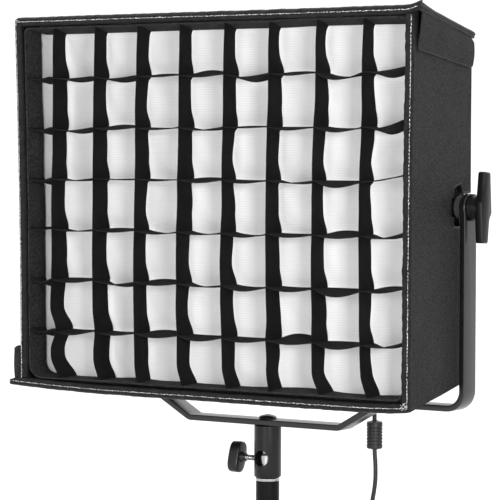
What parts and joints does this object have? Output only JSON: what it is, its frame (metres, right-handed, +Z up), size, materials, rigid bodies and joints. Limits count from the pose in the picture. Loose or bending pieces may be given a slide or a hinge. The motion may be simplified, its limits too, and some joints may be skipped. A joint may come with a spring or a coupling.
{
  "type": "box softbox on a yoke-mounted LED panel light",
  "caption": "Rectangular softbox with fabric egg-crate grid and white diffuser on an LED panel light, held by a U yoke with tilt knobs and a stud receiver.",
  "frame": {"origin": "centre of the stand tube's flat lower end, on the vertical axis of the stud and receiver", "axes": "+Z up along the stud; the light shines towards -Y; the tilt axis runs along X"},
  "size_m": [0.48, 0.2069, 0.5898],
  "materials": {
    "panel_fabric": "woven, slightly sheened dark grey nylon over stiff board",
    "black_fabric": "matte black woven fabric",
    "white_cloth": "white ribbed translucent cloth",
    "diffusion_plastic": "opal frosted sheet",
    "light_shell": "fine-textured black moulding",
    "black_paint": "satin black powder coat",
    "black_plastic": "satin black moulding",
    "fibre": "matte black friction washer",
    "steel": "bright plated steel",
    "aluminium": "bare extruded aluminium",
    "display_glass": "dark glossy window",
    "lead_jacket": "soft black PVC"
  },
  "bodies": {
    "root": {"stand_tube": "black_paint", "stand_stud": "steel"},
    "yoke": {"yoke": "black_paint", "yoke_bolt": "black_paint", "receiver": "black_paint", "dc_lead": "lead_jacket", "ferrite_bead": "lead_jacket", "dc_coil": "lead_jacket", "cord_tie": "black_fabric", "dc_tail": "lead_jacket", "dc_connector": "lead_jacket"},
    "thumbscrew": {"thumbscrew_knob": "black_plastic", "thumbscrew_rod": "steel"},
    "right_knob": {"right_tilt_handle": "black_plastic", "right_tilt_screw": "steel"},
    "left_knob": {"left_tilt_handle": "black_plastic", "left_tilt_screw": "steel"},
    "top_flap": {"top_right_flap": "panel_fabric"},
    "bottom_flap": {"bottom_left_flap": "panel_fabric"},
    "fan": {"fan_rotor": "black_plastic"},
    "brightness_dial": {"brightness_dial": "black_plastic"},
    "colour_dial": {"colour_dial": "black_plastic"},
    "power_switch": {"power_switch": "black_plastic"},
    "menu_button": {"menu_button": "black_plastic"},
    "mode_button": {"mode_button": "black_plastic"},
    "light": {"left_panel": "panel_fabric", "top_panel": "panel_fabric", "right_panel": "panel_fabric", "bottom_panel": "panel_fabric", "rear_collar": "black_fabric", "grid_band": "black_fabric", "grid_upright_1": "black_fabric", "grid_upright_2": "black_fabric", "grid_upright_3": "black_fabric", "grid_upright_4": "black_fabric", "grid_upright_5": "black_fabric", "grid_upright_6": "black_fabric", "grid_upright_7": "black_fabric", "grid_upright_8": "black_fabric", "grid_cross_1": "black_fabric", "grid_cross_2": "black_fabric", "grid_cross_3": "black_fabric", "grid_cross_4": "black_fabric", "grid_cross_5": "black_fabric", "grid_cross_6": "black_fabric", "diffuser_cloth": "white_cloth", "diffusion_plate": "diffusion_plastic", "main_housing": "light_shell", "rear_cover": "light_shell", "front_bezel": "light_shell", "fan_grille": "black_paint", "left_pivot_boss": "black_paint", "right_pivot_boss": "black_paint", "dc_socket": "black_plastic", "left_spacer": "fibre", "right_spacer": "fibre", "led_board": "aluminium", "heat_sink": "aluminium", "display_window": "display_glass", "dc_plug": "lead_jacket"}
  },
  "joints": [
    {"name": "pan", "type": "hinge", "parent": "root", "child": "yoke", "pos_m": [0, 0, 0.07], "axis": [0, 0, 1], "continuous": true},
    {"name": "tilt", "type": "hinge", "parent": "yoke", "child": "light", "pos_m": [0, 0, 0.3205], "axis": [-1, 0, 0], "range_deg": [-5, 90], "deforming": ["dc_lead"]},
    {"name": "thumbscrew_turn", "type": "hinge", "parent": "yoke", "child": "thumbscrew", "pos_m": [-0.03, 0, 0.0713], "axis": [-1, 0, 0], "range_deg": [0, 360]},
    {"name": "right_knob_turn", "type": "hinge", "parent": "yoke", "child": "right_knob", "pos_m": [0.2232, 0, 0.3205], "axis": [1, 0, 0], "range_deg": [0, 360]},
    {"name": "left_knob_turn", "type": "hinge", "parent": "yoke", "child": "left_knob", "pos_m": [-0.2232, 0, 0.3205], "axis": [-1, 0, 0], "range_deg": [0, 360]},
    {"name": "top_flap_open", "type": "hinge", "parent": "light", "child": "top_flap", "pos_m": [0.22997, -0.0984, 0.49877], "axis": [0.1801, -0.9754, 0.1268], "range_deg": [0, 150]},
    {"name": "bottom_flap_open", "type": "hinge", "parent": "light", "child": "bottom_flap", "pos_m": [-0.22997, -0.0984, 0.14223], "axis": [-0.1801, -0.9754, -0.1268], "range_deg": [0, 6]},
    {"name": "fan_spin", "type": "hinge", "parent": "light", "child": "fan", "pos_m": [-0.07, 0.067, 0.3205], "axis": [0, 1, 0], "continuous": true},
    {"name": "brightness_turn", "type": "hinge", "parent": "light", "child": "brightness_dial", "pos_m": [0.07, 0.09, 0.2905], "axis": [0, 1, 0], "continuous": true},
    {"name": "colour_turn", "type": "hinge", "parent": "light", "child": "colour_dial", "pos_m": [0.12, 0.09, 0.2905], "axis": [0, 1, 0], "continuous": true},
    {"name": "power_rock", "type": "hinge", "parent": "light", "child": "power_switch", "pos_m": [0.13, 0.08, 0.2605], "axis": [1, 0, 0], "range_deg": [0, 12]},
    {"name": "menu_press", "type": "slide", "parent": "light", "child": "menu_button", "axis": [0, -1, 0], "range_m": [0, 0.0015], "stiffness_N_per_m": 250},
    {"name": "mode_press", "type": "slide", "parent": "light", "child": "mode_button", "axis": [0, -1, 0], "range_m": [0, 0.0015], "stiffness_N_per_m": 250}
  ]
}
